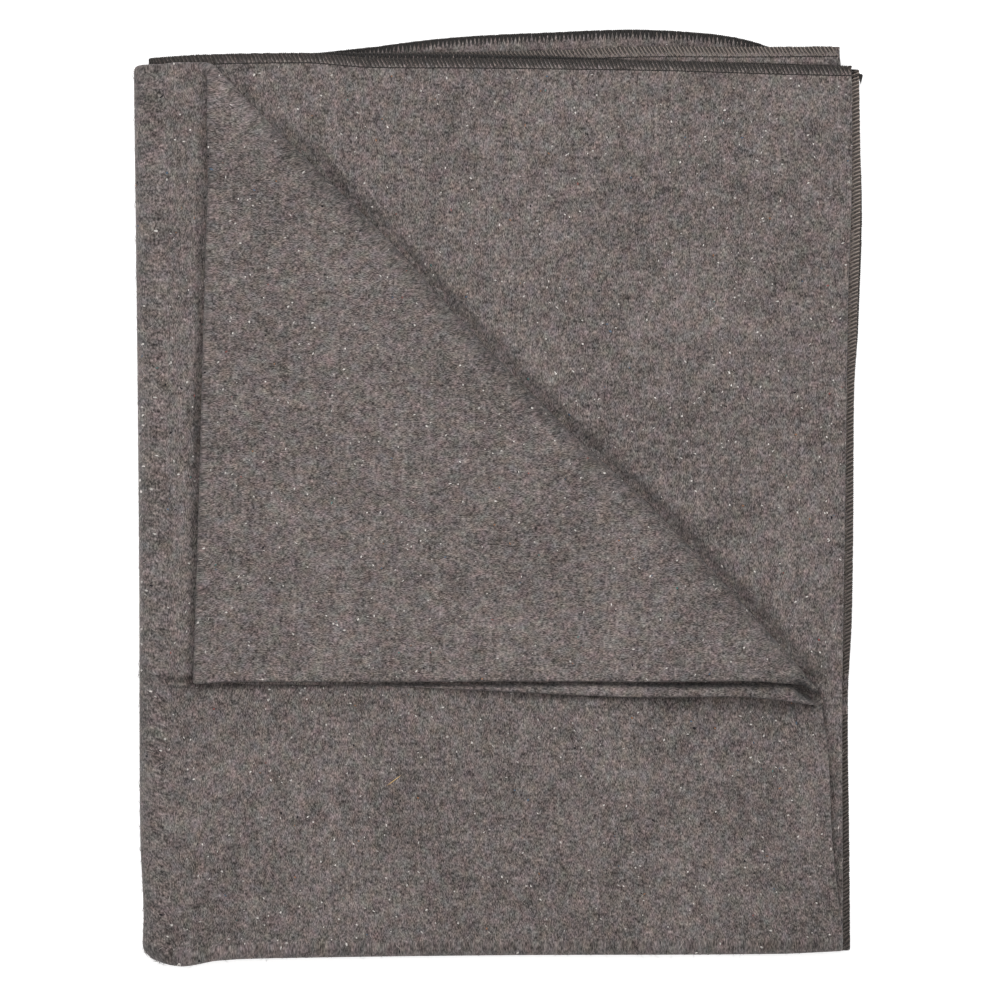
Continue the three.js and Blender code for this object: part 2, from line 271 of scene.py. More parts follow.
def pressed(x, y, at_x, at_y, direction, half_long, half_wide, height, steepness=SOFT):
    """How much one of the troughs, ridges or gaps changes the height of a place."""
    cosine, sine = math.cos(math.radians(direction)), math.sin(math.radians(direction))
    long = np.abs((x - at_x) * cosine + (y - at_y) * sine) / half_long
    wide = np.abs((y - at_y) * cosine - (x - at_x) * sine) / half_wide
    return height * np.exp(-long**steepness - wide**steepness)


def under(z, middle, layers):
    """How much a point gives way: most in the top one of so many layers, less in those under it, and not at
    all in those above. The height of its layer's middle tells which layer it is in."""
    above = (middle - pack(layers) + CLOTH / 2) / (CLOTH + AIR)
    return np.clip(z / pack(layers), 0, 1) * np.clip(1 - above, 0, 1)


def settle(x, y, z, middle):
    """How high a point comes once the pile has settled: the roll and the sag beside the crease, the soft
    troughs and ridges, which fade towards the table, and the gaps at the feet of the folds."""
    past, down = past_crease(x, y), down_crease(x, y)
    inside = ROLL_START - past
    across = np.where(inside < ROLL_TOP, inside / ROLL_TOP, 1 - (inside - ROLL_TOP) / (ROLL_END - ROLL_TOP))
    fading = ease((CREASE_END - np.abs(down)) / CREASE_FADE)
    from_edge = past - turn_outside - CLOTH / 2 - along(CREASE_BOW, down)
    sag = SAG * np.exp(-(from_edge / SAG_REACH) ** 2) * fading
    foot = FOOT * np.exp(-((from_edge - FOOT_AT) / FOOT_REACH) ** 2) * fading
    lifted = ROLL * ease(across) * fading + sum(pressed(x, y, *row) for row in LIFTED)
    lifted *= np.clip((z - pack(BELOW_CORNER)) / (CORNER - pack(BELOW_CORNER)), 0, 1)
    eased = (sum(pressed(x, y, *row) for row in PRESSED) - sag) * np.clip(z / PILE, 0, 1)
    sunk = sum(pressed(x, y, *row) * under(z, middle, layers) for *row, layers in FEET)
    settled = z + lifted + eased + sunk - foot * under(z, middle, BELOW_CORNER)
    return np.maximum(settled, z * LEAST_HEIGHT)


def fold(u, v, w):
    """Where a point of the cut cloth comes in the pile before it settles, in millimetres."""
    side_at, side_height = halve(np.abs(u), np.where(u < 0, -1, 1), w, side_turn)
    top_at, top_height = halve(np.abs(v), np.where(v < 0, -1, 1), side_height, top_turn)
    bottom_at, bottom_height = tuck_under(top_at, top_height, bottom_start - top_half, bottom_turn)
    left_at, left_height = tuck_under(side_at, bottom_height, left_start - side_half, left_turn)
    x, y, z = left_at + shift_x, bottom_at + shift_y, left_height + PILE / 2
    slip_x, slip_y = slip(u, v, x, y)
    top_quarter = (np.abs(u) < left_start) & (np.abs(v) < bottom_start)
    turned = turn_down(x, y, z, v)
    x, y, z = (np.where(top_quarter, after, before) for after, before in zip(turned, (x, y, z)))
    across = np.clip((x - left_edge) / (right_edge - left_edge), 0, 1)
    up = np.clip((y - bottom_edge) / (top_edge - bottom_edge), 0, 1)
    stray_x = along(LEFT_SIDE, y) * (1 - across) + along(RIGHT_SIDE, y) * across
    stray_y = along(BOTTOM_SIDE, x) * (1 - up) + along(TOP_SIDE, x) * up
    x, y = x + stray_x + slip_x, y + stray_y + slip_y
    freely = ease(COMES_FREE * nearness(np.abs(u), left_start, left_end, WIDTH / 2))
    hanging = ease((y - top_edge - along(TOP_SIDE, x) - DROP_START) / DROP_REACH)
    back_end = (np.abs(v) > bottom_end) & (np.abs(u) > left_end)
    return x, y, z - np.where(back_end, DROP * freely * hanging, 0)


def place(u, v, w):
    """Where a point of the cut cloth lies in the pile, in metres."""
    x, y, z = fold(u, v, w)
    return np.stack([x, y, settle(x, y, z, fold(u, v, 0)[2])], axis=-1) * MM


# Stitches press the raw edges thinner: to what half thickness, how far in, and how far in it is full again
EDGE_HALF, PRESSED_FLAT, SEWN = 0.42, 5.2, 9.0


def half_thickness(u, v):
    """Half the cloth's thickness at a place on the cut cloth."""
    inset = np.minimum(WIDTH / 2 - np.abs(u), LENGTH / 2 - np.abs(v))
    return EDGE_HALF + (CLOTH / 2 - EDGE_HALF) * ease((inset - PRESSED_FLAT) / (SEWN - PRESSED_FLAT))


# Where the gaps lie in the top quarter the strips are closer: from, to and how many, in mm on the cut cloth
CLOSER_ACROSS = [(0.5, shift_x - 155, 20), (shift_x + 154, shift_x + 171, 9)]
CLOSER_DOWN = [(shift_y + 92, shift_y + 119, 17)]
SEWN_STRIPS = 6


def divisions(half, start, end, total, closer, fold_steps, tuck_steps, strips, tucked_strips):
    """Where a quarter of the cloth is divided one way: steps in its folds, and strips between them."""
    open_strips = np.linspace(half, start, strips, endpoint=False)
    parts = []
    for low, high, count in closer:
        low, high = low + half, high + half
        open_strips = open_strips[(open_strips < low) | (open_strips > high)]
        parts.append(np.linspace(low, high, count))
    parts += [np.linspace(0, half, fold_steps, endpoint=False), open_strips, [half]]
    parts += [np.linspace(start, end, tuck_steps, endpoint=False)]
    parts += [np.linspace(end, total - SEWN, tucked_strips, endpoint=False)]
    parts += [np.linspace(total - SEWN, total, SEWN_STRIPS + 1)]
    return np.unique(np.concatenate(parts).round(4))


# Two places nearer than this are taken to be one, in mm
SAME_PLACE = 1e-7


def cut(outline, value):
    """Cuts a flat convex outline in two along the line where value is zero, and keeps both parts."""
    near, far = [], []
    values = [value(corner) for corner in outline]
    for i, corner in enumerate(outline):
        after = outline[(i + 1) % len(outline)]
        here, there = values[i], values[(i + 1) % len(outline)]
        if here <= SAME_PLACE:
            near.append(corner)
        if here >= -SAME_PLACE:
            far.append(corner)
        if min(here, there) < -SAME_PLACE and max(here, there) > SAME_PLACE:
            share = here / (here - there)
            crossing = tuple(p + (q - p) * share for p, q in zip(corner, after))
            near.append(crossing)
            far.append(crossing)
    return [part for part in (near, far) if len(part) > 2]


# Cuts along the crease, by how far past it they lie: for the turn, the roll and the layer at its foot
turn_cuts = [turn_inside * math.radians(angle) for angle in range(0, 181, 20)]
turn_cuts += [turn_outside * math.radians(angle) for angle in range(70, 181, 10)]
ROLL_CUTS = [-16, -6, 32, 44]
FOOT_CUTS = [4, 8, 10.5, 13, 15.5, 18, 22]


def past_in_quarter(corner):
    """How far past the crease a place in the top quarter comes, or one in the quarter tucked under it."""
    across, down = np.array(corner)
    tucked = down >= bottom_end
    y = (down - bottom_end - bottom_start + top_half if tucked else halve(down, 1, 0, top_turn)[0]) + shift_y
    x = halve(across, 1, 0, side_turn)[0] + shift_x
    return float(past_crease(x if tucked else drawn_in(x, y), y))


def quarter_outlines():
    """The faces of one quarter of the flat cloth, with cuts along the crease where the corner turns down."""
    across = divisions(
        side_half, left_start, left_end, WIDTH / 2, CLOSER_ACROSS,
        fold_steps=4, tuck_steps=10, strips=30, tucked_strips=16,
    )
    down = divisions(
        top_half, bottom_start, bottom_end, LENGTH / 2, CLOSER_DOWN,
        fold_steps=4, tuck_steps=8, strips=36, tucked_strips=28,
    )
    outlines = []
    past = {(a, b): past_in_quarter((a, b)) for a in across for b in down if a < left_end}
    for a0, a1 in zip(across[:-1], across[1:]):
        for b0, b1 in zip(down[:-1], down[1:]):
            square = [(a0, b0), (a1, b0), (a1, b1), (a0, b1)]
            parts = [square]
            if all(corner in past for corner in square) and (b1 < bottom_start or b0 >= bottom_end):
                reach = [past[corner] for corner in square]
                for line in turn_cuts + ROLL_CUTS if b1 < bottom_start else FOOT_CUTS:
                    if min(reach) < line < max(reach):
                        parts = [
                            piece for part in parts
                            for piece in cut(part, lambda corner: past_in_quarter(corner) - line)
                        ]
            outlines += parts
    return outlines


def cloth_mesh(name):
    """The whole cloth as one closed surface: its face, its back and the rim round its raw edge."""
    flat, faces, found = [], [], {}

    def corner(u, v, side):
        key = (round(u, 4), round(v, 4), side)
        if key not in found:
            found[key] = len(flat)
            flat.append((u, v, side))
        return found[key]

    outlines = quarter_outlines()
    for way_u, way_v in ((1, 1), (-1, 1), (-1, -1), (1, -1)):
        for outline in outlines:
            points = [(a * way_u, b * way_v) for a, b in outline]
            if way_u * way_v < 0:
                points.reverse()
            front = [corner(u, v, 1) for u, v in points]
            back = [corner(u, v, -1) for u, v in points]
            faces += [front, back[::-1]]
            for i, (p, q) in enumerate(zip(points, points[1:] + points[:1])):
                for k, edge in ((0, WIDTH / 2), (1, LENGTH / 2)):
                    if abs(p[k]) > edge - SAME_PLACE and p[k] == q[k]:
                        j = (i + 1) % len(points)
                        faces.append([front[i], back[i], back[j], front[j]])
    u, v, side = np.array(flat).T
    mesh = bpy.data.meshes.new(name)
    mesh.from_pydata(place(u, v, side * half_thickness(u, v)).tolist(), [], faces)
    mesh.shade_smooth()
    keep_flat(mesh, u, v, side)
    return mesh


def keep_flat(mesh, u, v, side):
    """Stores where each point lay on the cut cloth, in metres, for the materials to follow."""
    held = mesh.attributes.new("cut_cloth", "FLOAT_VECTOR", "POINT")
    held.data.foreach_set("vector", np.stack([u * MM, v * MM, side * MM], axis=-1).astype("f").ravel())


cloth = bpy.data.objects.new("blanket_cloth_folded", cloth_mesh("blanket_cloth_folded"))
bpy.context.collection.objects.link(cloth)


def linear(code):
    """An sRGB hex colour as linear red, green, blue and alpha."""
    parts = [int(code[i : i + 2], 16) / 255 for i in (1, 3, 5)]
    return [c / 12.92 if c <= 0.04045 else ((c + 0.055) / 1.055) ** 2.4 for c in parts] + [1]


def add(tree, kind, inputs=None, **settings):
    """Adds a node with its settings, and sets or links its inputs."""
    node = tree.nodes.new(kind)
    for name, value in settings.items():
        setattr(node, name, value)
    for name, value in (inputs or {}).items():
        if isinstance(value, bpy.types.NodeSocket):
            tree.links.new(value, node.inputs[name])
        else:
            node.inputs[name].default_value = value
    return node


# Each mottle of the wool: its size across and along the grain in mm, the noise's detail,
# and how strongly it shows in the tone and in the relief. Single fibres are drawn coarser than they are.
MOTTLES = [
    (0.6, 1.4, 2.0, 1.65, 0.8),
    (2.0, 3.2, 3.0, 1.06, 1.0),
    (9, 12, 2.0, 0.46, 0.0),
    (50, 60, 1.0, 0.2, 0.0),
]
MEAN_TONE, BRIGHTEST_TONE, TONE_POWER = 0.475, 1.3, 1.6
NOISE_ROUGHNESS = 0.6
# How far the tints stray in red, green and blue, and the size of a tinted patch in mm
TINT = (0.47, 0.15, 0.29)
TINT_PATCH = (6.25, 7.6923, 1)
RELIEF_STRENGTH, RELIEF_HEIGHT = 0.6, 0.6
# The numbers of a colour mix's two colours and of its result among the node's sockets
FROM_COLOUR, TO_COLOUR, MIXED = 6, 7, 2


def brushed_recycled_wool():
    """Brushed recycled wool, a melange of black, brown and pale fibres.
    The eye gets a matt grey-brown with short streaks along the grain, cloudy patches and faint tints."""
    material = bpy.data.materials.new("brushed_recycled_wool")
    material.use_nodes = True
    tree = material.node_tree
    tree.nodes.clear()
    lay = add(tree, "ShaderNodeAttribute", attribute_type="GEOMETRY", attribute_name="cut_cloth")
    lay = lay.outputs["Vector"]
    tone, relief = MEAN_TONE, 0.5
    for across, lengthwise, detail, in_tone, in_relief in MOTTLES:
        per_metre = (1 / (across * MM), 1 / (lengthwise * MM), 1 / MM)
        scaled = add(tree, "ShaderNodeVectorMath", {0: lay, 1: per_metre}, operation="MULTIPLY").outputs[0]
        inputs = {"Vector": scaled, "Scale": 1.0, "Detail": detail, "Roughness": NOISE_ROUGHNESS}
        noise = add(tree, "ShaderNodeTexNoise", inputs).outputs["Fac"]
        away = add(tree, "ShaderNodeMath", {0: noise, 1: 0.5}, operation="SUBTRACT").outputs[0]
        more_tone, more_relief = {0: away, 1: in_tone, 2: tone}, {0: away, 1: in_relief, 2: relief}
        tone = add(tree, "ShaderNodeMath", more_tone, operation="MULTIPLY_ADD").outputs[0]
        relief = add(tree, "ShaderNodeMath", more_relief, operation="MULTIPLY_ADD").outputs[0]
    held = add(tree, "ShaderNodeClamp", {"Value": tone, "Min": 0.0, "Max": BRIGHTEST_TONE}).outputs[0]
    shaped = add(tree, "ShaderNodeMath", {0: held, 1: TONE_POWER}, operation="POWER").outputs[0]
    ends = {0: shaped, FROM_COLOUR: linear("#2A2625"), TO_COLOUR: linear("#AA9E9A")}
    ground = add(tree, "ShaderNodeMix", ends, data_type="RGBA", clamp_factor=False).outputs[MIXED]

    per_metre = [1 / (patch * MM) for patch in TINT_PATCH]
    scaled = add(tree, "ShaderNodeVectorMath", {0: lay, 1: per_metre}, operation="MULTIPLY").outputs[0]
    inputs = {"Vector": scaled, "Scale": 1.0, "Detail": 2.0, "Roughness": NOISE_ROUGHNESS}
    tints = add(tree, "ShaderNodeTexNoise", inputs).outputs["Color"]
    evened = {0: tints, 1: TINT, 2: [1 - stray / 2 for stray in TINT]}
    tints = add(tree, "ShaderNodeVectorMath", evened, operation="MULTIPLY_ADD").outputs[0]
    colour = add(tree, "ShaderNodeVectorMath", {0: ground, 1: tints}, operation="MULTIPLY").outputs[0]

    bumps = {"Strength": RELIEF_STRENGTH, "Distance": RELIEF_HEIGHT * MM, "Height": relief}
    bump = add(tree, "ShaderNodeBump", bumps)
    shader = add(tree, "ShaderNodeBsdfPrincipled", {
        "Base Color": colour, "Roughness": 0.95, "Specular IOR Level": 0.15,
        "Sheen Weight": 0.1, "Sheen Roughness": 0.6, "Normal": bump.outputs["Normal"],
    })
    add(tree, "ShaderNodeOutputMaterial", {"Surface": shader.outputs["BSDF"]})
    return material


cloth.data.materials.append(brushed_recycled_wool())
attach(cloth, "root")
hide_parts("blanket_cloth")


# The overlock stitching
# Spun polyester thread, looped round all four raw edges by an overlock machine, which also cuts them square.
# A dark needle thread runs along the inner side of each band, and holds the loops to the cloth.
STITCH = 2.1
NEEDLE_IN, NEEDLE_HALF_WIDTH, NEEDLE_HALF_HEIGHT = 5.0, 0.26, 0.16
LOOPER_HALF_HEIGHT, LOOPER_ABOVE = 0.2, 0.2
SEWING_SEED = 11
# How far the first and the last stitch keep from a run's ends, in mm
RUN_END = 1
# How uneven the loops are: how early or late, how deep and how far out, each at most, in stitches and mm
UNEVEN_ALONG, UNEVEN_DEEP, UNEVEN_OUT = 0.1, 0.35, 0.25

# One stitch of the looper thread: how far along in stitches, how far in from the edge in mm, how far round
# the edge in degrees, from the front to the back, its half width, and how much of the brown dye it takes
LOOPED = [
    (0.02, 4.9, 0, 0.34, 1), (0.85, 2.6, 0, 0.36, 1), (1.68, 0.3, 0, 0.36, 1),
    (1.71, -0.05, 45, 0.4, 1), (1.72, -0.12, 90, 0.4, 1), (1.73, -0.05, 135, 0.4, 1),
    (1.75, 0.4, 180, 0.7, 0), (1.97, 4.6, 180, 0.55, 0), (2.17, 0.4, 180, 0.7, 0),
    (2.21, -0.05, 135, 0.4, 0.2), (2.22, -0.12, 90, 0.4, 0.2), (2.23, -0.05, 45, 0.4, 0.2),
    (2.23, 0.3, 0, 0.5, 0.2), (1.62, 2.6, 0, 0.55, 0.2),
]
# One stitch of the needle thread: how far along in stitches, and how far above the cloth in mm
NEEDLED = [(0, -0.1), (0.22, 0.36), (0.78, 0.36)]

# Each sewn run: where it starts and ends on the cut cloth, whether its front is on the cloth's face,
# and how brown the thread is at each place along it, in mm from the run's start. This share is partly the
# thread's own lighter brown lengths and partly painted: painted light towards the sides' ends, and painted
# shade in the middle of the near end
SIDES_BROWN_AND_PAINTED_LIGHT = [
    (0, 1), (80, 1), (130, 0.8), (300, 0.45), (475, 0.35),
    (1425, 0.35), (1600, 0.45), (1770, 0.8), (1820, 1), (1900, 1),
]
SIDE, END = WIDTH / 2, LENGTH / 2
RUNS = {
    # The near end's thread is darker in its middle: painted shade
    "overlock_near_end": ((-SIDE, -END), (SIDE, -END), 1, [(0, 0.2), (750, 0.1), (1500, 0.2)]),
    "overlock_far_end_lower": ((0, END), (-SIDE, END), 1, [(0, 0.6), (130, 0.6), (230, 0.2), (750, 0.1)]),
    "overlock_far_end_upper": ((0, END), (SIDE, END), -1, [(0, 0.2), (750, 0.2)]),
    "overlock_right_side": ((SIDE, -END), (SIDE, END), 1, SIDES_BROWN_AND_PAINTED_LIGHT),
    "overlock_left_side": ((-SIDE, END), (-SIDE, -END), 1, SIDES_BROWN_AND_PAINTED_LIGHT),
}


def stitched_run(run, chance):
    """Where the looper thread and the needle thread of a run pass: mm along and in from the edge,
    degrees round it, mm above the cloth, half width, half height and share of the brown dye."""
    length = math.dist(*RUNS[run][:2])
    sewn = length - 2 * RUN_END
    count = round(sewn / STITCH)
    step = sewn / count
    looped, needled = [], []
    for i in range(count):
        early = chance.uniform(-UNEVEN_ALONG, UNEVEN_ALONG)
        deep = chance.uniform(-UNEVEN_DEEP, UNEVEN_DEEP)
        out = chance.uniform(0, UNEVEN_OUT)
        for ahead, inward, degrees, half_width, brown in LOOPED:
            at = RUN_END + (i + ahead + early) * step
            inward += deep * inward / NEEDLE_IN - out * (inward < 1)
            looped.append((at, inward, degrees, LOOPER_ABOVE, half_width, LOOPER_HALF_HEIGHT, brown))
        for ahead, above in NEEDLED:
            at = RUN_END + (i + ahead) * step
            needled.append((at, NEEDLE_IN, 0, above, NEEDLE_HALF_WIDTH, NEEDLE_HALF_HEIGHT, 0))
    return looped, needled


def sewn_thread(run, stops):
    """One closed thread through the stops: its corners, its faces and how brown it is at each corner, painted
    light and painted shade included.
    """
    start, end, front, brown_and_painted_light_at = RUNS[run]
    ahead = np.subtract(end, start) / math.dist(start, end)
    inward = np.array([-ahead[1], ahead[0]]) * front
    s, d, degrees, above, half_width, half_height, brown = np.array(stops, float).T
    angle = np.radians(degrees)
    u, v = (start[k] + ahead[k] * s + inward[k] * d for k in (0, 1))
    middle = np.stack([s, d, np.cos(angle) * (half_thickness(u, v) + above)], axis=-1)
    forward = np.gradient(middle, axis=0)
    forward /= np.linalg.norm(forward, axis=1, keepdims=True)
    outward = np.stack([np.zeros_like(s), -np.sin(angle), np.cos(angle)], axis=-1)
    outward -= forward * np.sum(forward * outward, axis=1, keepdims=True)
    outward /= np.linalg.norm(outward, axis=1, keepdims=True)
    sideways = np.cross(forward, outward) * half_width[:, None]
    outward *= half_height[:, None]
    rings = np.stack([middle + sideways, middle + outward, middle - sideways, middle - outward], axis=1)
    s, d, w = rings.reshape(-1, 3).T
    u, v = (start[k] + ahead[k] * s + inward[k] * d for k in (0, 1))
    last = 4 * len(stops) - 4
    faces = [
        [i + k, i + 4 + k, i + 4 + (k + 1) % 4, i + (k + 1) % 4]
        for i in range(0, last, 4) for k in range(4)
    ]
    faces += [[0, 1, 2, 3], [last + 3, last + 2, last + 1, last]]
    return place(u, v, w * front), faces, along(brown_and_painted_light_at, s) * np.repeat(brown, 4)


def overlock_thread():
    """Spun polyester thread, charcoal, with lighter brown lengths; the share of brown along each run also
    carries painted light and painted shade. The eye gets a dull, dark rim of close slanting stitches."""
    material = bpy.data.materials.new("overlock_thread")
    material.use_nodes = True
    tree = material.node_tree
    tree.nodes.clear()
    brown_and_painted_light = add(tree, "ShaderNodeAttribute", attribute_type="GEOMETRY", attribute_name="brown_and_painted_light")
    ends = {0: brown_and_painted_light.outputs["Fac"], FROM_COLOUR: linear("#2C2A29"), TO_COLOUR: linear("#A3968D")}
    colour = add(tree, "ShaderNodeMix", ends, data_type="RGBA").outputs[MIXED]
    inputs = {"Base Color": colour, "Roughness": 0.7, "Specular IOR Level": 0.3}
    shader = add(tree, "ShaderNodeBsdfPrincipled", inputs)
    add(tree, "ShaderNodeOutputMaterial", {"Surface": shader.outputs["BSDF"]})
    return material


sewing = overlock_thread()
chance = np.random.default_rng(SEWING_SEED)
for run in RUNS:
    corners, faces, brown_and_painted_light = [], [], []
    for stops in stitched_run(run, chance):
        at, around, brown = sewn_thread(run, stops)
        faces += [[len(corners) + k for k in face] for face in around]
        corners += at.tolist()
        brown_and_painted_light += brown.tolist()
    mesh = bpy.data.meshes.new(run)
    mesh.from_pydata(corners, [], faces)
    mesh.shade_smooth()
    mesh.attributes.new("brown_and_painted_light", "FLOAT", "POINT").data.foreach_set("value", brown_and_painted_light)
    mesh.materials.append(sewing)
    band = bpy.data.objects.new(run, mesh)
    bpy.context.collection.objects.link(band)
    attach(band, "root")


# The loose fibres and neps
# Brushing lifts single fibres out of the cloth, and recycled wool holds neps, small knots of other colours.
# They lie on the cloth wherever it is open to the air, and stand out a little at the folds.
FIBRE_SEED = 5
# Places tried, how far they keep from the sewn edges in mm, and how many fibres and neps there are at most
TRIED, CLEAR_OF_SEWING = 520000, 6
NAP_COUNT, NEP_COUNT = 15000, 1100
# Sizes in mm: a fibre is drawn several times as coarse as wool, so that it shows
NAP_HALF, NAP_LENGTH = 0.085, (2, 6)
NEP_HALF_HEIGHT, NEP_HALF_WIDTH, NEP_LENGTH = 0.25, (0.35, 0.85), (0.8, 2.2)
# How far the fibres' free ends stand off at a rim and on the face, in mm, and how late they curl up
RIM_LIFT, FACE_LIFT, CURL = (0.3, 2.6), 0.8, 1.5
# How far the fibres stray from the grain, in degrees
STRAY = 32
# How far up a place faces, from 1 to -1: below the first it can't be seen, within the second of 0 it lies at
# a rim, and above the last it is on the face
TURNED_DOWN, AT_RIM, ON_FACE = -0.3, 0.5, 0.7
# How often a fibre or a nep has each colour, and how much darker or lighter it may be
NAP_DYES = [(0.30, "#463F3D"), (0.38, "#6E6461"), (0.25, "#8E8480"), (0.07, "#BDB5AF")]
NEP_DYES = [
    (0.80, "#CFC9C4"), (0.06, "#242327"), (0.05, "#94705A"),
    (0.03, "#8A5A55"), (0.04, "#5B6979"), (0.02, "#5C7976"),
]
DYE_VARIES = (0.8, 1.2)
# The neps and the one straw that can be told apart: both ends in mm from the middle, half width and colour
TOLD_APART = [
    (123.8, 78.3, 124.7, 77.0, 0.8, "#E4DFDA"),
    (123.5, 68.0, 124.4, 66.0, 0.7, "#E4DFDA"),
    (125.4, 61.0, 124.6, 59.4, 0.7, "#E4DFDA"),
    (83.6, 54.0, 84.9, 53.0, 0.7, "#E4DFDA"),
    (17.8, 48.6, 19.0, 47.6, 0.7, "#E4DFDA"),
    (-20.9, 19.8, -19.6, 18.8, 0.7, "#E4DFDA"),
    (145.0, 150.2, 146.2, 149.2, 0.7, "#9A6F52"),
    (-109.1, -202.4, -108.0, -203.5, 0.7, "#9A6F52"),
    (-43.3, -160.0, -42.2, -161.1, 0.7, "#9A6F52"),
    (71.2, -117.2, 72.3, -118.3, 0.7, "#9A6F52"),
    (171.3, -75.5, 172.4, -76.5, 0.8, "#8E4F4B"),
    (95.3, -47.7, 96.3, -48.8, 0.7, "#567F7B"),
    (-60.4, -154.7, -50.8, -147.7, 0.45, "#C8A878"),
]
# Pale lint hangs on the left side, so far to each side of this place
LINT_MIDDLE, LINT_REACH, LINT_DYE = 6, 86, "#CFC9C3"
# Fibres lower than this lie close, so that none reaches into the table
CLEAR_OF_TABLE = 12
# A place is open where nothing lies so near in front of it, seen from so far off the cloth, in mm
OPEN_REACH, OFF_CLOTH = 12, 0.2


def open_to_air(u, v):
    """Which places on the cloth's face are open, where each of them lies, and which way it faces."""
    near = place(u, v, CLOTH / 2 + 0.1)
    facing = place(u, v, CLOTH / 2 + 1.1) - near
    facing /= np.linalg.norm(facing, axis=1, keepdims=True)
    corners = [corner.co for corner in cloth.data.vertices]
    surface = BVHTree.FromPolygons(corners, [list(face.vertices) for face in cloth.data.polygons])

    def clear(at, way):
        met = surface.ray_cast(Vector(at + way * OFF_CLOTH * MM), Vector(way), OPEN_REACH * MM)
        return met[0] is None

    free = [way[2] > TURNED_DOWN and clear(at, way) for at, way in zip(near, facing)]
    return np.array(free), near, facing


def spindles(name, starts, ends, lift, half_width, half_height, dyes):
    """Short closed fibres from start to end on the cloth's face, whose far ends stand lift mm off it.
    Each has a point, two rings of three corners and another point, and curls up towards its far end."""
    step = ends - starts
    length = np.linalg.norm(step, axis=1, keepdims=True)
    across = np.stack([-step[:, 1], step[:, 0]], axis=-1) / length
    rows = []
    for share, part in ((0, 0), (0.33, 1), (0.67, 1), (1, 0)):
        for angle in np.radians((90, 210, 330) if part else (90,)):
            at = starts + step * share + across * (half_width * math.cos(angle) * part)[:, None]
            above = half_thickness(at[:, 0], at[:, 1]) + half_height * math.sin(angle) * part
            rows.append(place(at[:, 0], at[:, 1], above + lift * share**CURL))
    corners = np.stack(rows, axis=1).reshape(-1, 3)
    shape = [(0, 2, 1), (0, 3, 2), (0, 1, 3), (7, 4, 5), (7, 5, 6), (7, 6, 4)]
    shape += [(1, 2, 5, 4), (2, 3, 6, 5), (3, 1, 4, 6)]
    faces = [[8 * i + k for k in face] for i in range(len(starts)) for face in shape]
    mesh = bpy.data.meshes.new(name)
    mesh.from_pydata(corners.tolist(), [], faces)
    mesh.shade_smooth()
    held = mesh.attributes.new("dye", "FLOAT_COLOR", "POINT")
    held.data.foreach_set("color", np.repeat(dyes, 8, axis=0).astype("f").ravel())
    return mesh


def pick_dyes(rows, count, chance):
    """So many colours out of the rows, as often as the rows say, each a little lighter or darker."""
    shares, codes = zip(*rows)
    colours = np.array([linear(code) for code in codes])
    picked = colours[chance.choice(len(codes), count, p=np.array(shares) / sum(shares))]
    return picked * chance.uniform(*DYE_VARIES, (count, 1))


def find_on_cloth(x, y, start):
    """Where on the cut cloth the places at x and y of the pile lie, stepped up to from the given starts."""
    u, v = start.T.copy()
    target = np.stack([x, y], axis=-1) * MM
    nudge, rounds = 0.1, 8
    for _ in range(rounds):
        here = place(u, v, CLOTH / 2)[:, :2]
        by_u = (place(u + nudge, v, CLOTH / 2)[:, :2] - here) / nudge
        by_v = (place(u, v + nudge, CLOTH / 2)[:, :2] - here) / nudge
        gap = target - here
        turned = by_u[:, 0] * by_v[:, 1] - by_u[:, 1] * by_v[:, 0]
        u += (gap[:, 0] * by_v[:, 1] - gap[:, 1] * by_v[:, 0]) / turned
        v += (by_u[:, 0] * gap[:, 1] - by_u[:, 1] * gap[:, 0]) / turned
    return np.stack([u, v], axis=-1)


def loose_wool_fibre():
    """Loose wool fibre, which gives the eye a soft rim and crisp light and dark hairs on the face."""
    material = bpy.data.materials.new("loose_wool_fibre")
    material.use_nodes = True
    tree = material.node_tree
    tree.nodes.clear()
    dye = add(tree, "ShaderNodeAttribute", attribute_type="GEOMETRY", attribute_name="dye").outputs["Color"]
    inputs = {"Base Color": dye, "Roughness": 0.9, "Specular IOR Level": 0.1}
    shader = add(tree, "ShaderNodeBsdfPrincipled", inputs)
    add(tree, "ShaderNodeOutputMaterial", {"Surface": shader.outputs["BSDF"]})
    return material


chance = np.random.default_rng(FIBRE_SEED)
tried = np.stack([
    chance.uniform(0, WIDTH / 2 - CLEAR_OF_SEWING, TRIED),
    chance.uniform(CLEAR_OF_SEWING - LENGTH / 2, LENGTH / 2 - CLEAR_OF_SEWING, TRIED),
], axis=-1)
free, near, facing = open_to_air(*tried.T)
tried, near, facing = tried[free], near[free], facing[free]
fibre = loose_wool_fibre()

nap = tried[:NAP_COUNT]
count = len(nap)
lengths = chance.uniform(*NAP_LENGTH, count)
grain = np.radians(90 + chance.normal(0, STRAY, count)) * chance.choice((-1, 1), count)
at_rim = np.abs(facing[:count, 2]) < AT_RIM
from_lint = np.abs(near[:count, 1] - LINT_MIDDLE * MM)
lint = at_rim & (facing[:count, 0] < -AT_RIM) & (from_lint < LINT_REACH * MM)
lifts = np.where(at_rim, chance.uniform(*RIM_LIFT, count), chance.uniform(0, FACE_LIFT, count) ** 2)
lifts *= near[:count, 2] > CLEAR_OF_TABLE * MM
dyes = pick_dyes(NAP_DYES, count, chance)
dyes[lint] = linear(LINT_DYE)
ends = nap + np.stack([np.cos(grain), np.sin(grain)], axis=-1) * lengths[:, None]
nap_mesh = spindles("brushed_nap", nap, ends, lifts, np.full(count, NAP_HALF), NAP_HALF, dyes)

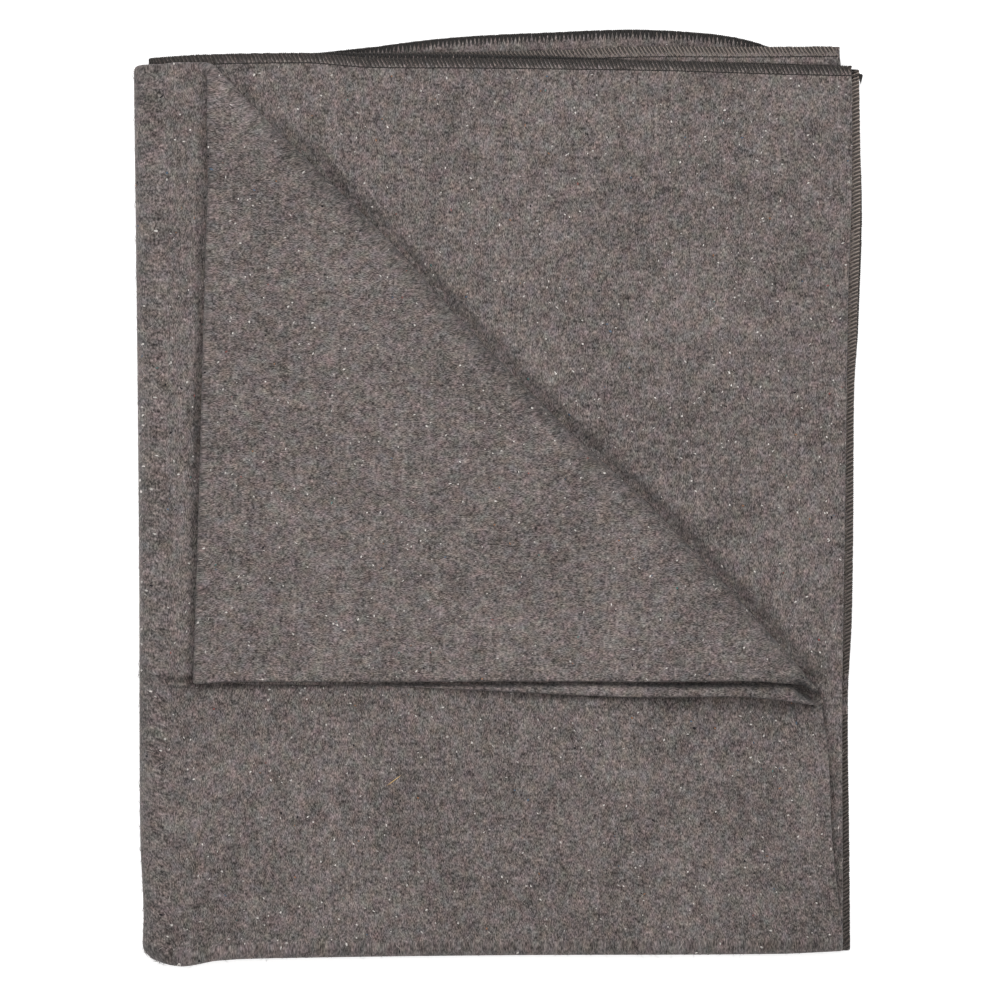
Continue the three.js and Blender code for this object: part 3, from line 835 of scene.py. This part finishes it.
neps = tried[NAP_COUNT : NAP_COUNT + NEP_COUNT]
count = len(neps)
turned = chance.uniform(0, 2 * math.pi, count)
lengths = chance.uniform(*NEP_LENGTH, count)
ends = neps + np.stack([np.cos(turned), np.sin(turned)], axis=-1) * lengths[:, None]
halves, dyes = chance.uniform(*NEP_HALF_WIDTH, count), pick_dyes(NEP_DYES, count, chance)
rows = np.array([row[:5] for row in TOLD_APART])
nearest = []
for x, y in rows[:, :2]:
    away = np.hypot(near[:, 0] - x * MM, near[:, 1] - y * MM)
    nearest.append(np.argmin(np.where(facing[:, 2] < ON_FACE, 1, away)))
told_starts = find_on_cloth(rows[:, 0], rows[:, 1], tried[nearest])
told_ends = find_on_cloth(rows[:, 2], rows[:, 3], told_starts)
nep_mesh = spindles(
    "neps_and_straw", np.concatenate([neps, told_starts]), np.concatenate([ends, told_ends]),
    np.zeros(count + len(rows)), np.concatenate([halves, rows[:, 4]]), NEP_HALF_HEIGHT,
    np.concatenate([dyes, [linear(row[5]) for row in TOLD_APART]]),
)
for mesh in (nap_mesh, nep_mesh):
    mesh.materials.append(fibre)
    tuft = bpy.data.objects.new(mesh.name, mesh)
    bpy.context.collection.objects.link(tuft)
    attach(tuft, "root")


# The table that the blanket lies on, the light and the camera
# A plain white surface that glows a little, as a light table does, under one big soft box overhead.
# The camera looks straight down from so far up that the top of the pile looks hardly larger than its foot.
PIXEL = 0.535 * MM
PICTURE = 1000
MIDDLE_PIXEL = 497.9
CAMERA_HEIGHT = 10
SENSOR = 36
FARTHEST_SEEN = 50
BOARD_SIDE, BOARD_GLOW = 6, 0.62
ROOM_LIGHT = 0.14
WHITE = (1, 1, 1, 1)


def matt_white_board():
    """Matt white board with a glow of its own, which gives the eye a plain white ground."""
    material = bpy.data.materials.new("matt_white_board")
    material.use_nodes = True
    shader = material.node_tree.nodes["Principled BSDF"]
    shader.inputs["Base Color"].default_value = linear("#F6F6F6")
    shader.inputs["Roughness"].default_value = 0.9
    shader.inputs["Emission Color"].default_value = WHITE
    shader.inputs["Emission Strength"].default_value = BOARD_GLOW
    return material


bpy.ops.mesh.primitive_plane_add(size=BOARD_SIDE)
board = bpy.context.object
board.name = "board"
board.data.materials.append(matt_white_board())

world = bpy.data.worlds.new("studio")
bpy.context.scene.world = world
world.use_nodes = True
background = world.node_tree.nodes["Background"]
background.inputs["Color"].default_value = WHITE
background.inputs["Strength"].default_value = ROOM_LIGHT

# The soft box hangs a little towards the image's top, so that this end is the brighter one
SOFT_BOX_AT, SOFT_BOX_SIDE, SOFT_BOX_POWER = (-0.05, 0.24, 1.2), 1.4, 21.5
soft_box = bpy.data.lights.new("soft_box", "AREA")
soft_box.size = SOFT_BOX_SIDE
soft_box.energy = SOFT_BOX_POWER
soft_box_object = bpy.data.objects.new("soft_box", soft_box)
bpy.context.collection.objects.link(soft_box_object)
soft_box_object.location = SOFT_BOX_AT

camera = bpy.data.objects.new("camera", bpy.data.cameras.new("camera"))
bpy.context.collection.objects.link(camera)
middle = (PICTURE / 2 - MIDDLE_PIXEL) * PIXEL
camera.location = (middle, -middle, CAMERA_HEIGHT + PILE * MM)
camera.data.sensor_width = SENSOR
camera.data.lens = SENSOR * CAMERA_HEIGHT / (PICTURE * PIXEL)
camera.data.clip_end = FARTHEST_SEEN
bpy.context.scene.camera = camera
bpy.context.scene.view_settings.view_transform = "Standard"
